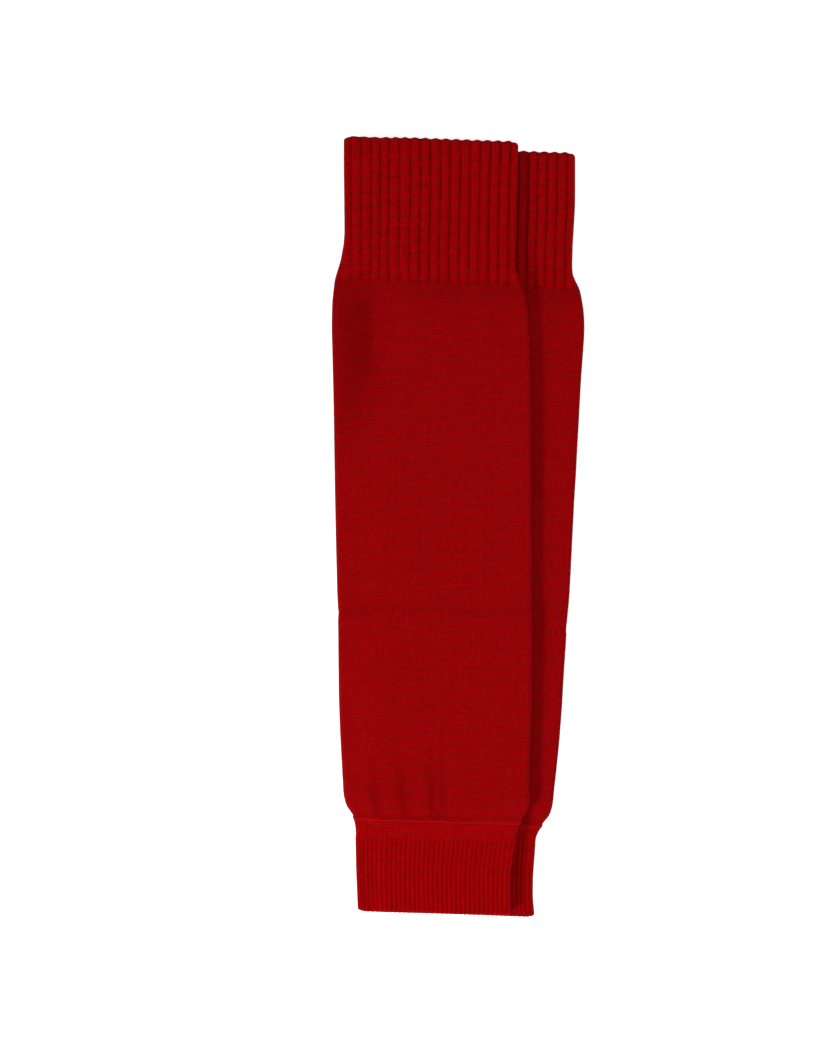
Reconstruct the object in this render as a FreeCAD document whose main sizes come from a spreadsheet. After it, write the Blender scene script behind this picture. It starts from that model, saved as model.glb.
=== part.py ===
import FreeCAD, Part
import math
import os

import Sketcher

# A pair of knitted forearm guards lying flat, one laid over the other, in millimetres.
# X runs across the guards, Y along them towards the elbow end, Z up from the surface they lie on.
# Each guard is a flattened tube: a wide ribbed elbow cuff of doubled fabric, a plain knitted sleeve
# and a finely ribbed wrist cuff of doubled fabric, with elastic rings laid inside both cuffs.
# The rear guard lies flat. The front guard lies on it, and its left side sags past the rear guard's
# edge. Both follow one width profile, given at the stations below.

STATIONS = {
    # name: (front y, rear y, front centre x, rear centre x, flat width)
    "rim": (174.8, 170.6, -12.4, 13.8, 77.8),
    "elbow_waist": (131.0, 128.0, -12.8, 13.5, 76.8),
    "elbow_join": (110.5, 109.0, -13.2, 12.9, 83.0),
    "shoulder": (91.0, 90.0, -12.7, 12.7, 88.4),
    "middle": (-24.0, -24.0, -10.8, 6.5, 87.6),
    "taper": (-98.0, -100.0, -10.1, 2.5, 84.8),
    "gather": (-119.6, -121.4, -9.7, 1.2, 81.0),
    "wrist_join": (-130.2, -132.4, -9.4, 0.3, 74.6),
    "wrist_waist": (-145.0, -147.4, -10.4, -0.8, 70.4),
    "hem": (-173.4, -174.8, -10.8, -0.5, 68.2),
}

KNIT = {
    "guard_thickness": 7.8,  # one flattened guard, outside
    "sleeve_wall": 1.3,
    "cuff_outer_wall": 0.85,
    "cuff_gap": 0.35,  # between a cuff's two layers, where the elastic lies
    "cuff_lining_wall": 0.6,
    "fold_depth": 2.0,  # solid fold at a cuff's free edge
    "thread_clearance": 0.05,
    "elastic_thickness": 0.25,
    "elastic_width": 0.8,
    "elbow_elastic_count": 9,
    "wrist_elastic_count": 6,
    "link_length": 1.2,  # the row of linking thread that holds an elbow cuff's inner edge
    "seam_length": 0.8,  # the ring of seam thread between sleeve and wrist cuff
    "stack_gap": 0.3,
    "pressed_depth": 0.04,  # by which the surface flattens the rear guard's underside
    "surface_width": 160.0,
    "surface_length": 400.0,
    "full_sag": 3.5,  # of the front guard's left side, where there is room for it
    "bend_radius": 23.0,  # of the front guard's mid-surface, over the rear guard's edge
    "least_flat": 1.0,
}

GUARDS = ("front", "rear")


def fill_sheet(doc):
    """The spreadsheet of driving dimensions, one alias to a cell."""
    sheet = doc.addObject("Spreadsheet::Sheet", "Dimensions")
    cells = dict(KNIT)
    for station, (front_y, rear_y, front_x, rear_x, width) in STATIONS.items():
        cells[f"front_{station}_y"] = front_y
        cells[f"rear_{station}_y"] = rear_y
        cells[f"front_{station}_x"] = front_x
        cells[f"rear_{station}_x"] = rear_x
        cells[f"{station}_width"] = width
    for row, (alias, value) in enumerate(cells.items(), start=1):
        sheet.set(f"A{row}", str(value))
        sheet.setAlias(f"A{row}", alias)
    doc.recompute()
    return sheet


def cell(alias):
    """An expression that reads one cell."""
    return f"Dimensions.{alias}"


class Place:
    """Expressions for one guard's mid-surface at a place along it.

    The place is a station, or lies a share of the way from one station to the next.
    """

    def __init__(self, guard, station, towards=None, share="0", shift="0"):
        self.guard = guard
        self.name = station if towards is None else f"{station}_{towards}"

        def mixed(first, second):
            if towards is None:
                return cell(first)
            return f"({cell(first)} + ({cell(second)} - {cell(first)}) * {share})"

        half = f"{mixed(f'{station}_width', f'{towards}_width')} / 2"
        cap = f"{cell('guard_thickness')} / 2"
        centre = {g: mixed(f"{g}_{station}_x", f"{g}_{towards}_x") for g in GUARDS}
        along = mixed(f"{guard}_{station}_y", f"{guard}_{towards}_y")
        self.y = f"({along} + {shift})"
        self.left = f"({centre[guard]} - {half} + {cap})"
        self.right = f"({centre[guard]} + {half} - {cap})"
        self.low = f"({cap} - {cell('pressed_depth')})"
        if guard == "front":
            radius = cell("bend_radius")
            self.high = f"({cell('guard_thickness')} + {cell('stack_gap')} + {cap})"
            self.bend = f"({centre['rear']} - {half} + {cap})"
            run = f"({self.bend} - {self.left} - {cell('least_flat')})"
            part_sag = f"2 * {radius} * (1 - cos(asin(min(1; {run} / (2 * {radius})))))"
            self.low = f"({self.high} - min({cell('full_sag')}; {part_sag}))"


def bind(sketch, constraint, name, expression):
    """Adds a named driving constraint whose value is an expression of the sheet's cells."""
    index = sketch.addConstraint(constraint)
    sketch.renameConstraint(index, name)
    sketch.setExpression(f"Constraints.{name}", expression)


def number(sketch, expression):
    """What an expression gives now, so that geometry can be drawn where it will stay."""
    value = sketch.evalExpression(expression)
    return float(getattr(value, "Value", value))


def arc(x, z, radius, first, last):
    circle = Part.Circle(FreeCAD.Vector(x, z, 0), FreeCAD.Vector(0, 0, 1), radius)
    return Part.ArcOfCircle(circle, math.radians(first), math.radians(last))


def line(start, end):
    return Part.LineSegment(FreeCAD.Vector(*start, 0), FreeCAD.Vector(*end, 0))


def draw_flat(sketch, place, half, tag=""):
    """A stadium: the section of a guard that lies flat. half is its half thickness."""
    t, left, right, z = (number(sketch, e) for e in (half, place.left, place.right, place.low))
    bottom, cap_r, top, cap_l = sketch.addGeometry(
        [
            line((left, z - t), (right, z - t)),
            arc(right, z, t, -90, 90),
            line((right, z + t), (left, z + t)),
            arc(left, z, t, 90, 270),
        ]
    )
    for a, b in ((bottom, cap_r), (cap_r, top), (top, cap_l), (cap_l, bottom)):
        sketch.addConstraint(Sketcher.Constraint("Tangent", a, 2, b, 1))
    for flat in (bottom, top):
        sketch.addConstraint(Sketcher.Constraint("Horizontal", flat))
    bind(sketch, Sketcher.Constraint("Radius", cap_r, t), f"half{tag}", half)
    bind(sketch, Sketcher.Constraint("DistanceX", -1, 1, cap_r, 3, right), f"right{tag}", place.right)
    bind(sketch, Sketcher.Constraint("DistanceX", -1, 1, cap_l, 3, left), f"left{tag}", place.left)
    bind(sketch, Sketcher.Constraint("DistanceY", -1, 1, cap_r, 3, z), f"level{tag}", place.low)


def draw_bent(sketch, place, half, tag=""):
    """A stadium bent down at its left by two equal arcs: the section of the front guard."""
    radius = cell("bend_radius")
    t, left, right, low, high, bend, r = (
        number(sketch, e)
        for e in (half, place.left, place.right, place.low, place.high, place.bend, radius)
    )
    turn = math.degrees(math.acos(1 - (high - low) / (2 * r)))
    foot = bend - 2 * r * math.sin(math.radians(turn))
    names = "low_l under_2 under_1 low_r cap_r top_r over_1 over_2 top_l cap_l".split()
    curves = [
        line((left, low - t), (foot, low - t)),
        arc(foot, low + r, r + t, -90, -90 + turn),
        arc(bend, high - r, r - t, 90, 90 + turn),
        line((bend, high - t), (right, high - t)),
        arc(right, high, t, -90, 90),
        line((right, high + t), (bend, high + t)),
        arc(bend, high - r, r + t, 90, 90 + turn),
        arc(foot, low + r, r - t, -90, -90 + turn),
        line((foot, low + t), (left, low + t)),
        arc(left, low, t, 90, 270),
    ]
    g = dict(zip(names, sketch.addGeometry(curves)))
    centres = sketch.addGeometry(line((bend, high - r), (foot, low + r)), True)
    sketch.addConstraint(
        [
            Sketcher.Constraint("Coincident", centres, 1, g["over_1"], 3),
            Sketcher.Constraint("Coincident", centres, 2, g["over_2"], 3),
            Sketcher.Constraint("Coincident", g["under_1"], 3, g["over_1"], 3),
            Sketcher.Constraint("Coincident", g["under_2"], 3, g["over_2"], 3),
        ]
    )
    joins = (
        ("low_l", 2, "under_2", 1),
        ("under_1", 1, "low_r", 1),
        ("low_r", 2, "cap_r", 1),
        ("cap_r", 2, "top_r", 1),
        ("top_r", 2, "over_1", 1),
        ("over_2", 1, "top_l", 1),
        ("top_l", 2, "cap_l", 1),
        ("cap_l", 2, "low_l", 1),
    )
    for a, a_end, b, b_end in joins:
        sketch.addConstraint(Sketcher.Constraint("Tangent", g[a], a_end, g[b], b_end))
    for flat in ("low_l", "low_r", "top_r", "top_l"):
        sketch.addConstraint(Sketcher.Constraint("Horizontal", g[flat]))
    for curve in ("under_1", "under_2", "over_1", "over_2"):
        sketch.addConstraint(Sketcher.Constraint("PointOnObject", g[curve], 2, centres))
    bind(sketch, Sketcher.Constraint("Radius", g["cap_l"], t), f"half_left{tag}", half)
    bind(sketch, Sketcher.Constraint("Radius", g["cap_r"], t), f"half_right{tag}", half)
    bind(sketch, Sketcher.Constraint("Radius", g["over_1"], r + t), f"over{tag}", f"{radius} + {half}")
    bind(sketch, Sketcher.Constraint("Radius", g["over_2"], r - t), f"under{tag}", f"{radius} - {half}")
    bind(sketch, Sketcher.Constraint("Distance", centres, 2 * r), f"centres{tag}", f"2 * {radius}")
    for name, curve, value, expression in (
        ("bend", "over_1", bend, place.bend),
        ("right", "cap_r", right, place.right),
        ("left", "cap_l", left, place.left),
    ):
        across = Sketcher.Constraint("DistanceX", -1, 1, g[curve], 3, value)
        bind(sketch, across, f"{name}{tag}", expression)
    for name, curve, value, expression in (
        ("high", "cap_r", high, place.high),
        ("low", "cap_l", low, place.low),
    ):
        up = Sketcher.Constraint("DistanceY", -1, 1, g[curve], 3, value)
        bind(sketch, up, f"{name}{tag}", expression)


def section(body, place, *insets):
    """A sketch across the guard: an outline for each inset from the guard's outer surface."""
    sketch = body.newObject("Sketcher::SketchObject", f"{body.Name}_{place.name}")
    plane = next(f for f in body.Origin.OriginFeatures if f.Role == "XZ_Plane")
    sketch.AttachmentSupport = [(plane, "")]
    sketch.MapMode = "FlatFace"
    sketch.setExpression("AttachmentOffset.Base.z", f"-{place.y}")
    draw = draw_bent if place.guard == "front" else draw_flat
    for tag, inset in zip(("", "_in"), insets):
        draw(sketch, place, f"({cell('guard_thickness')} / 2 - ({inset}))", tag)
    return sketch


def loft(body, kind, places, inset):
    """A straight-sided loft through the places, this far inside the guard's outer surface."""
    sketches = [section(body, place, inset) for place in places]
    feature = body.newObject(f"PartDesign::{kind}Loft", f"{body.Name}_{kind}")
    feature.Profile = sketches[0]
    feature.Sections = sketches[1:]
    feature.Ruled = True
    body.Tip = feature
    return feature


def press_flat(body):
    """Cuts away what would lie below the surface, so that the rear guard rests on a true plane."""
    underside = body.newObject("PartDesign::SubtractiveBox", f"{body.Name}_underside")
    width, length = cell("surface_width"), cell("surface_length")
    depth = f"2 * {cell('pressed_depth')}"
    for name, expression in (
        ("Length", width),
        ("Width", length),
        ("Height", depth),
        ("AttachmentOffset.Base.x", f"-{width} / 2"),
        ("AttachmentOffset.Base.y", f"-{length} / 2"),
        ("AttachmentOffset.Base.z", f"-({depth})"),
    ):
        underside.setExpression(name, expression)
    plane = next(f for f in body.Origin.OriginFeatures if f.Role == "XY_Plane")
    underside.AttachmentSupport = [(plane, "")]
    underside.MapMode = "FlatFace"
    body.Tip = underside


def new_body(doc, guard, piece):
    body = doc.addObject("PartDesign::Body", f"{guard}_{piece}")
    body.Label = f"{guard}_{piece}"
    return body


def make_sleeve(doc, guard):
    """The plain knitted tube, from the elbow cuff's join to just short of the wrist cuff."""
    body = new_body(doc, guard, "sleeve")
    end = Place(guard, "wrist_join", shift=f"{cell('seam_length')} / 2")
    inner = ("elbow_join", "shoulder", "middle", "taper", "gather")
    places = [Place(guard, station) for station in inner] + [end]
    loft(body, "Additive", places, "0")
    loft(body, "Subtractive", places, cell("sleeve_wall"))
    return body


def make_cuff(doc, guard, piece, free_edge, waist, join, shift):
    """A cuff of doubled fabric: two layers with a gap for elastic, joined by a fold at the free edge."""
    body = new_body(doc, guard, piece)
    outer = cell("cuff_outer_wall")
    lining = f"{outer} + {cell('cuff_gap')}"
    inside = f"{lining} + {cell('cuff_lining_wall')}"
    length = f"abs({cell(f'{guard}_{free_edge}_y')} - {cell(f'{guard}_{waist}_y')})"
    fold = Place(guard, free_edge, waist, f"({cell('fold_depth')} / {length})")
    root = Place(guard, join, shift=shift)
    whole = [root, Place(guard, waist), Place(guard, free_edge)]
    to_fold = [root, Place(guard, waist), fold]
    loft(body, "Additive", whole, "0")
    loft(body, "Subtractive", to_fold, outer)
    loft(body, "Additive", whole, lining)
    loft(body, "Subtractive", whole, inside)
    return body


def ring(body, place, first_inset, thickness, length):
    """A ring of thread round the guard inside its wall, padded along the guard."""
    sketch = section(body, place, first_inset, f"{first_inset} + {thickness}")
    pad = body.newObject("PartDesign::Pad", f"{body.Name}_{place.name}_ring")
    pad.Profile = sketch
    pad.setExpression("Length", length)
    pad.Midplane = True
    body.Tip = pad
    return pad


def gap_inset():
    """How far inside the outer surface a thread in a cuff's gap starts."""
    return f"{cell('cuff_outer_wall')} + {cell('thread_clearance')}"


def make_elastics(doc, guard, piece, free_edge, waist, count):
    """Elastic rings laid between a cuff's two layers, evenly spaced from waist to fold."""
    body = new_body(doc, guard, piece)
    body.AllowCompound = True
    rings = int(KNIT[count])
    for k in range(rings):
        share = f"({k + 1} / ({cell(count)} + 1))"
        place = Place(guard, waist, free_edge, share)
        ring(body, place, gap_inset(), cell("elastic_thickness"), cell("elastic_width"))
    return body


def make_elbow_link(doc, guard):
    """The row of thread that links the elbow cuff's turned-in edge to its outer layer."""
    body = new_body(doc, guard, "elbow_link_thread")
    clearance = cell("thread_clearance")
    inset = gap_inset()
    first = Place(guard, "elbow_join", shift=clearance)
    length = f"abs({cell(f'{guard}_elbow_waist_y')} - {cell(f'{guard}_elbow_join_y')})"
    last = Place(guard, "elbow_join", "elbow_waist", f"({cell('link_length')} / {length})")
    loft(body, "Additive", [first, last], inset)
    loft(body, "Subtractive", [first, last], f"{inset} + {cell('elastic_thickness')}")
    return body


def make_seam(doc, guard):
    """The ring of seam thread that joins the sleeve to the wrist cuff."""
    body = new_body(doc, guard, "wrist_seam_thread")
    half = f"{cell('seam_length')} / 2"
    places = [Place(guard, "wrist_join", shift=shift) for shift in (half, f"-{half}")]
    loft(body, "Additive", places, "0")
    loft(body, "Subtractive", places, cell("sleeve_wall"))
    return body


def make_guard(doc, guard):
    seam_half = f"-{cell('seam_length')} / 2"
    pieces = [
        make_cuff(doc, guard, "elbow_cuff", "rim", "elbow_waist", "elbow_join", "0"),
        make_elastics(doc, guard, "elbow_elastics", "rim", "elbow_waist", "elbow_elastic_count"),
        make_elbow_link(doc, guard),
        make_sleeve(doc, guard),
        make_seam(doc, guard),
        make_cuff(doc, guard, "wrist_cuff", "hem", "wrist_waist", "wrist_join", seam_half),
        make_elastics(doc, guard, "wrist_elastics", "hem", "wrist_waist", "wrist_elastic_count"),
    ]
    if guard == "rear":
        for piece in pieces:
            if piece.Label.endswith(("cuff", "sleeve", "seam_thread")):
                press_flat(piece)
    return pieces


def check(doc, bodies):
    """Stops on any failed object, and on a sub-part whose shape is empty or not valid."""
    for obj in doc.Objects:
        if any(state in obj.State for state in ("Invalid", "Error")):
            raise RuntimeError(f"{obj.Name} failed: {obj.State}")
    for body in bodies:
        if body.Shape.isNull() or not body.Shape.isValid():
            raise RuntimeError(f"{body.Label} has no valid shape")


def write(bodies):
    os.makedirs("parts", exist_ok=True)
    for body in bodies:
        box = body.Shape.BoundBox
        print(
            f"{body.Label}: {len(body.Shape.Solids)} solids, {body.Shape.Volume:.0f} mm3, "
            f"x {box.XMin:.1f} to {box.XMax:.1f}, y {box.YMin:.1f} to {box.YMax:.1f}, "
            f"z {box.ZMin:.2f} to {box.ZMax:.2f}"
        )
        body.Shape.exportStep(f"parts/{body.Label}.step")


document = FreeCAD.newDocument("forearm_guards")
fill_sheet(document)
pieces = [body for guard in GUARDS for body in make_guard(document, guard)]
document.recompute()
check(document, pieces)
write(pieces)
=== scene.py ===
# %% [markdown]
# # A pair of knitted forearm guards
# Each guard is a tube of red polyester knit, open at both ends: a wide ribbed cuff for the elbow end,
# a plain sleeve, and a finely ribbed cuff for the wrist. They lie flat, one over the other. A
# flattened tube is easy to describe by numbers: how far along it we are, how far round it, and how
# deep inside its wall. So every piece here is a grid of points worked out from those three numbers.
# Modelling by hand or by a cloth simulation would give soft folds too, but not 36 even ribs and
# stitches that all keep their place in the knit.

import math

import bpy
import numpy as np
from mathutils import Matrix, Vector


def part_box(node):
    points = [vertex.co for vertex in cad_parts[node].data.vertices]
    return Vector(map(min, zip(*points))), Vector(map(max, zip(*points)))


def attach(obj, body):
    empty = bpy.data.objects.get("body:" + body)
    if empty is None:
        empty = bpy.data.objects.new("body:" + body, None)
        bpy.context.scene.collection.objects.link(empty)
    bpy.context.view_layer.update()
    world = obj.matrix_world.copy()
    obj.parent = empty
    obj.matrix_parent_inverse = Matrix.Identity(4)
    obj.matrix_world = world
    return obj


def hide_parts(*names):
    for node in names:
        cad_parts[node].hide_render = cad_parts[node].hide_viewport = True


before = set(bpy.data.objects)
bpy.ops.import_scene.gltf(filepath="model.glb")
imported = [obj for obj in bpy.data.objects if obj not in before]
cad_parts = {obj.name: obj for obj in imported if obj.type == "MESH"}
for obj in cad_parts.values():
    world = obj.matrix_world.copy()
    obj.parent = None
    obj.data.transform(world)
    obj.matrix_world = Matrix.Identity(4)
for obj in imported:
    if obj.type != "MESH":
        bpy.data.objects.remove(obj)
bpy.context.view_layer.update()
MM = 0.001  # lengths below are in millimetres, and Blender's are in metres

# %% [markdown]
# ## The camera
# The guards are seen from straight above, from far enough away that their sides hardly show. A long
# lens high up gives that. The picture is upright, so the sensor's size counts along its height.

# %% Camera
VIEW_HEIGHT = 477.0
VIEW_CENTRE = (-17.8, -1.2)
VIEW_LEVEL = 10.0  # above the floor, where the view is VIEW_HEIGHT tall
CAMERA_HEIGHT = 1500.0  # above that level
SENSOR = 36.0

camera_data = bpy.data.cameras.new("camera")
camera_data.sensor_width = SENSOR
camera_data.lens = SENSOR * CAMERA_HEIGHT / VIEW_HEIGHT
camera = bpy.data.objects.new("camera", camera_data)
camera_z = (CAMERA_HEIGHT + VIEW_LEVEL) * MM
camera.location = (VIEW_CENTRE[0] * MM, VIEW_CENTRE[1] * MM, camera_z)
bpy.context.scene.collection.objects.link(camera)
bpy.context.scene.camera = camera
print("camera lens, mm:", round(camera_data.lens, 1))

# %% [markdown]
# ## Floor and light
# A plain pale floor, a white surround and three lamps. The smallest lamp stands on the left, so the
# ribs and folds throw their shade to the right, and the upper guard shades the one below. The other
# two are larger and softer, and lift those shades. The paper floor glows faintly, so it stays white.

# %% Floor and light
FLOOR_COLOUR = "#F7F7F7"
FLOOR_GLOW = 0.5
FLOOR_GAP = 0.05  # below the CAD's underside, so no two faces lie at one height
SURROUND_STRENGTH = 0.42
WHITE = (1.0, 1.0, 1.0, 1.0)
LAMPS = (  # name, place in metres, side in metres, power in watts
    ("left_lamp", (-0.54, -0.56, 0.69), 0.2, 7.8),
    ("right_lamp", (0.75, 0.2, 1.1), 0.6, 5.0),
    ("top_lamp", (0.1, -0.4, 1.5), 0.7, 6.2),
)


def linear(hex_colour):
    """A linear colour with alpha, from an sRGB hex one."""
    values = (int(hex_colour[k : k + 2], 16) / 255 for k in (1, 3, 5))
    return (*(v / 12.92 if v <= 0.04045 else ((v + 0.055) / 1.055) ** 2.4 for v in values), 1.0)


def add_node(tree, kind, inputs=(), **settings):
    """Adds a node with its settings. inputs pairs each socket with a value or another's output."""
    made = tree.nodes.new(kind)
    for name, value in settings.items():
        setattr(made, name, value)
    for socket, value in dict(inputs).items():
        if isinstance(value, bpy.types.NodeSocket):
            tree.links.new(value, made.inputs[socket])
        else:
            made.inputs[socket].default_value = value
    return made


for lamp_name, place, side, power in LAMPS:
    lamp_data = bpy.data.lights.new(lamp_name, "AREA")
    lamp_data.size = side
    lamp_data.energy = power
    lamp = bpy.data.objects.new(lamp_name, lamp_data)
    lamp.location = place
    # Each lamp points at the middle of the guards.
    lamp.rotation_euler = (-lamp.location).to_track_quat("-Z", "Y").to_euler()
    bpy.context.scene.collection.objects.link(lamp)

world = bpy.data.worlds.new("white_surround")
world.use_nodes = True
world.node_tree.nodes["Background"].inputs["Color"].default_value = WHITE
world.node_tree.nodes["Background"].inputs["Strength"].default_value = SURROUND_STRENGTH
bpy.context.scene.world = world
bpy.context.scene.view_settings.view_transform = "Standard"

floor_material = bpy.data.materials.new("white_paper")
floor_material.use_nodes = True
floor_shader = floor_material.node_tree.nodes["Principled BSDF"]
floor_shader.inputs["Base Color"].default_value = linear(FLOOR_COLOUR)
floor_shader.inputs["Roughness"].default_value = 0.9
floor_shader.inputs["Specular IOR Level"].default_value = 0.1
floor_shader.inputs["Emission Color"].default_value = WHITE
floor_shader.inputs["Emission Strength"].default_value = FLOOR_GLOW
bpy.ops.mesh.primitive_plane_add(size=6.0, location=(0.0, 0.0, -FLOOR_GAP * MM))
floor = bpy.context.object
floor.name = "floor"
floor.data.materials.append(floor_material)
print("stage:", floor.name, "and", world.name)

# %% [markdown]
# ## The outline of a guard
# A knitted tube narrows where rib stitches pull it in. Both guards come off the same machine, so they
# share one list of flat widths. Places along a guard are counted 0 at the wrist cuff's hem, 1 at the
# wrist seam, 2 where the sleeve meets the elbow cuff and 3 at the elbow rim, and the frame says how
# many millimetres lie between. Straight runs between stations, averaged over a short window, give a
# soft curve with no need for a spline's handles.

# %% Outline
FLAT_WIDTHS = (  # place along the guard, millimetres across
    (0.0, 69.6), (0.44, 70.2), (0.69, 72.0), (0.89, 73.6), (1.0, 77.0), (1.014, 80.6),
    (1.037, 82.4), (1.074, 83.8), (1.15, 85.7), (1.223, 86.8), (1.39, 87.2), (1.41, 87.7),
    (1.6, 88.5), (1.816, 88.9), (1.907, 88.6), (1.96, 88.0), (2.0, 85.0), (2.062, 81.2),
    (2.146, 78.7), (2.314, 77.8), (2.739, 78.8), (3.0, 79.2),
)  # fmt: skip
FRONT_CENTRE_LINE = (  # place along the guard, x of its middle
    (0.0, -10.6), (0.44, -11.0), (0.69, -10.3), (1.0, -9.2), (1.074, -9.9), (1.4, -10.3),
    (1.5, -10.7), (1.816, -11.6), (1.95, -12.3), (2.06, -13.4), (2.15, -13.0), (2.31, -12.3),
    (3.0, -11.9),
)  # fmt: skip
REAR_CENTRE_LINE = (
    (0.0, 0.4), (0.22, -0.6), (0.86, -0.8), (1.01, 0.8), (1.086, 2.2), (1.27, 4.4), (1.455, 7.0),
    (1.6, 8.4), (1.816, 11.2), (1.93, 13.3), (2.09, 12.5), (2.3, 13.4), (2.6, 14.1), (3.0, 13.9),
)  # fmt: skip
GRID_STEP = 0.25
GRID_MARGIN = 10.0  # past each free edge
OUTLINE_BLUR = 4.0  # half the length that is averaged
BEND_RADIUS = 23.0  # of the front guard's sag over the rear guard's edge
FULL_SAG = 3.5
LEAST_FLAT = 1.0  # of the middle line left of the sag
CAP_POWER = 3.2  # 2 would make the folded edges round, and more makes them boxier


class Guard:
    """One guard: its places along Y from the frame, and its smooth outline. skews are the slopes of
    its free edges, at the hem and at the rim, and crease is where its packed fold crosses it."""

    def __init__(self, name, centre_line, skews, crease, seed):
        self.name = name
        self.skews = skews
        self.crease = crease
        self.seed = seed
        wrist_low, wrist_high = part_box(f"{name}_wrist_cuff")
        elbow_low, elbow_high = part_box(f"{name}_elbow_cuff")
        self.places = np.array([wrist_low.y, wrist_high.y, elbow_low.y, elbow_high.y]) / MM
        self.hem, self.seam, self.join, self.rim = self.places
        self.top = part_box(f"{name}_sleeve")[1].z / MM
        self.grid = np.arange(self.hem - GRID_MARGIN, self.rim + GRID_MARGIN, GRID_STEP)
        self.widths = self.smooth(FLAT_WIDTHS)
        self.centres = self.smooth(centre_line)

    def smooth(self, stations):
        """The stations' values over the grid, softened along the guard."""
        places, values = zip(*stations)
        line = np.interp(self.place(self.grid), places, values)
        reach = int(OUTLINE_BLUR / GRID_STEP)
        window = np.hanning(2 * reach + 1)
        return np.convolve(np.pad(line, reach, mode="edge"), window / window.sum(), mode="valid")

    def place(self, y):
        """The place along the guard, 0 at the hem to 3 at the rim."""
        return np.interp(y, self.places, (0.0, 1.0, 2.0, 3.0))

    def edges(self, y):
        """The left and right edge of the flat outline."""
        centre = np.interp(y, self.grid, self.centres)
        half = np.interp(y, self.grid, self.widths) / 2
        return centre - half, centre + half


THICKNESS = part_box("rear_sleeve")[1].z / MM  # of one flattened guard
front = Guard("front", FRONT_CENTRE_LINE, skews=(0.026, 0.035), crease=-36.4, seed=11)
rear = Guard("rear", REAR_CENTRE_LINE, skews=(0.035, 0.034), crease=-44.5, seed=29)
for guard in (front, rear):
    print(guard.name, "guard is", round(guard.rim - guard.hem), "mm long")

# %% [markdown]
# ## The section of a flattened tube
# Cut across, a flattened tube is a long loop with two rounded ends. Its middle line runs from the left
# end's centre to the right end's. On the front guard that line sags past the rear guard's edge, along
# two equal arcs that turn opposite ways. A point of the wall is then a point of the middle line plus
# half the thickness along the outward direction, and going deeper into the wall only shortens that.

# %% Section
def mid_line(guard, y, run):
    """Points of the middle line this far from its left end, its slope there and its whole length."""
    half = THICKNESS / 2
    left, right = guard.edges(y)
    left, right = left + half, right - half
    high = guard.top - half
    if guard is rear:
        return left + run, high + 0 * run, 0 * run, right - left
    bend = rear.edges(y)[0] + half
    room = np.maximum(bend - left - LEAST_FLAT, 0.0)
    steepest = np.arcsin(np.minimum(1.0, room / (2 * BEND_RADIUS)))
    sag = np.minimum(FULL_SAG, 2 * BEND_RADIUS * (1 - np.cos(steepest)))
    turn = np.arccos(1 - sag / (2 * BEND_RADIUS))
    first = bend - 2 * BEND_RADIUS * np.sin(turn) - left
    arc = BEND_RADIUS * turn
    lower = np.clip((run - first) / BEND_RADIUS, 0, turn)
    upper = np.clip((first + 2 * arc - run) / BEND_RADIUS, 0, turn)
    in_upper = run > first + arc
    x = np.where(
        in_upper,
        bend - BEND_RADIUS * np.sin(upper) + np.maximum(0, run - first - 2 * arc),
        left + np.minimum(run, first) + BEND_RADIUS * np.sin(lower),
    )
    z = np.where(
        in_upper,
        high - BEND_RADIUS * (1 - np.cos(upper)),
        high - sag + BEND_RADIUS * (1 - np.cos(lower)),
    )
    return x, z, np.where(in_upper, upper, lower), first + 2 * arc + right - bend


def round_the_tube(guard, y, around):
    """For shares round the tube, 0 at the left edge and 0.5 at the right one, by way of the top:
    the middle line's point, the outward direction, and how far the wall faces up, -1 to 1."""
    line_length = mid_line(guard, y, 0 * y)[3]
    cap = math.pi * THICKNESS / 2
    along = np.mod(around, 1.0) * 2 * (line_length + cap)
    over = np.clip(along - cap / 2, 0, line_length)
    under = np.clip(along - 1.5 * cap - line_length, 0, line_length)
    run = np.where(along < line_length + cap, over, line_length - under)
    x, z, slope, _ = mid_line(guard, y, run)
    turned = np.minimum(along, cap / 2) + np.clip(along - cap / 2 - line_length, 0, cap)
    turned = turned + np.maximum(0, along - 1.5 * cap - 2 * line_length)
    angle = math.pi * (1 - turned / cap)
    across, up = np.cos(angle), np.sin(angle)
    squareness = (np.abs(across) ** CAP_POWER + np.abs(up) ** CAP_POWER) ** (-1 / CAP_POWER)
    out_x = (across * np.cos(slope) - up * np.sin(slope)) * squareness
    out_z = (across * np.sin(slope) + up * np.cos(slope)) * squareness
    return x, z, out_x, out_z, up


tube_length = 2 * mid_line(front, np.zeros(1), np.zeros(1))[3][0] + math.pi * THICKNESS
print("front tube, mm round at the middle:", round(tube_length, 1))

# %% [markdown]
# ## Ribs, folds and gathers
# Rib knit stands in cords because knit columns come forward and purl columns sink back. The elbow
# cuff has 36 cords, each two columns wide, and the wrist cuff 72, each one column wide. Cloth that has
# been folded and packed keeps a crease and soft dents, and the wide sleeve bunches where it is sewn to
# the narrow cuff. All of these are depths, in millimetres, by which the surface sinks below the plain
# tube, so they can be added up and tried out one at a time.

# %% Relief
COLUMNS_ROUND = 144  # stitches round the tube
WIDE_RIBS = 36
VALLEY_WIDTH = 0.115  # of a rib
VALLEY_DEPTH = 0.5
LEAN_DEPTH = 0.4  # each wide rib leans, so its right side lies this much lower
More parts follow.
